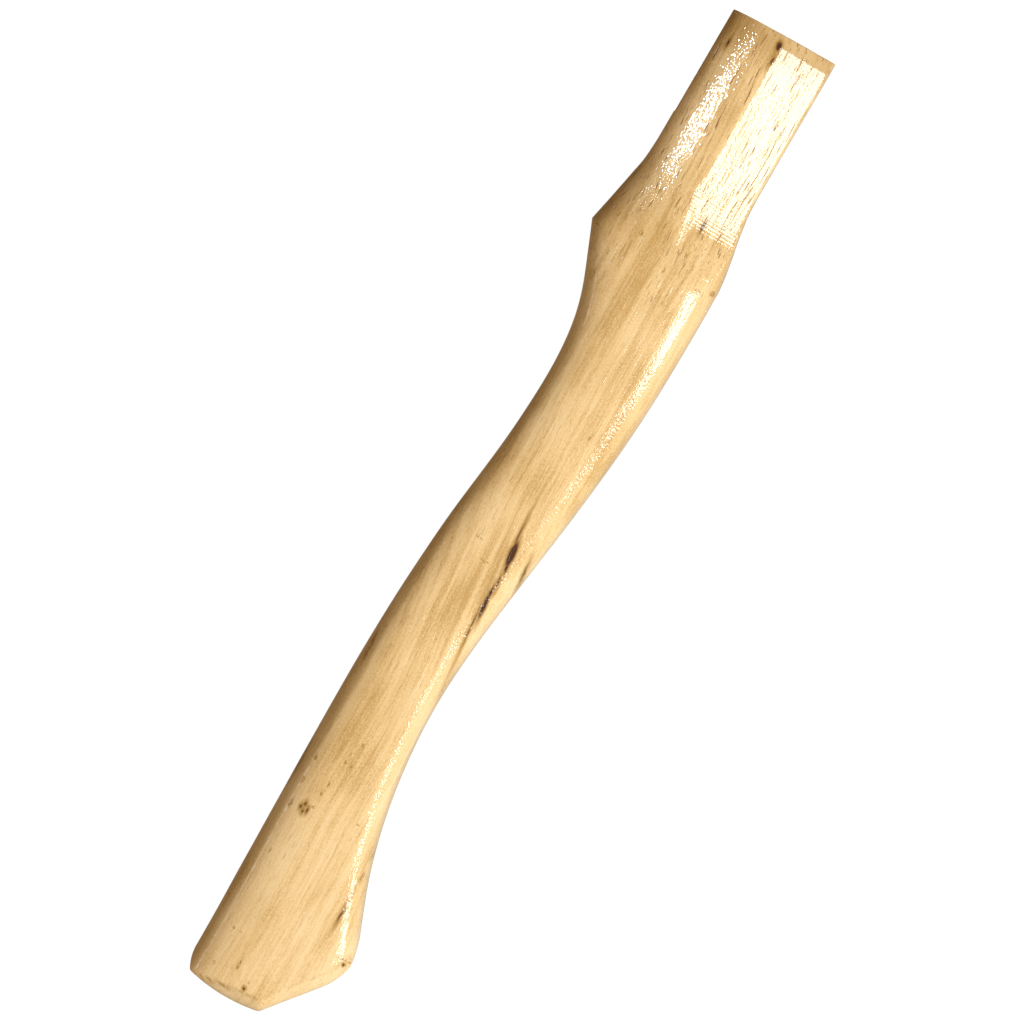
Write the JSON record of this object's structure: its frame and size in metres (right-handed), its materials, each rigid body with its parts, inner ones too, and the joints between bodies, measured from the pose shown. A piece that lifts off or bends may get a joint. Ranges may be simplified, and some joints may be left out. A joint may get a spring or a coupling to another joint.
{
  "type": "carving hatchet handle",
  "caption": "Bare wooden handle for a carving hatchet: straight sawn tongue, peaked shoulder, curved grip and flared, bevelled butt.",
  "frame": {"origin": "centre line of the tongue where the hatchet head seats", "axes": "+X along the tongue towards the head, +Y to the back (the poll side), +Z through the thickness"},
  "size_m": [0.3556, 0.0541, 0.0238],
  "materials": {
    "hickory": "clear gloss lacquer over fine straight grain"
  },
  "bodies": {
    "root": {"handle": "hickory"}
  },
  "joints": []
}
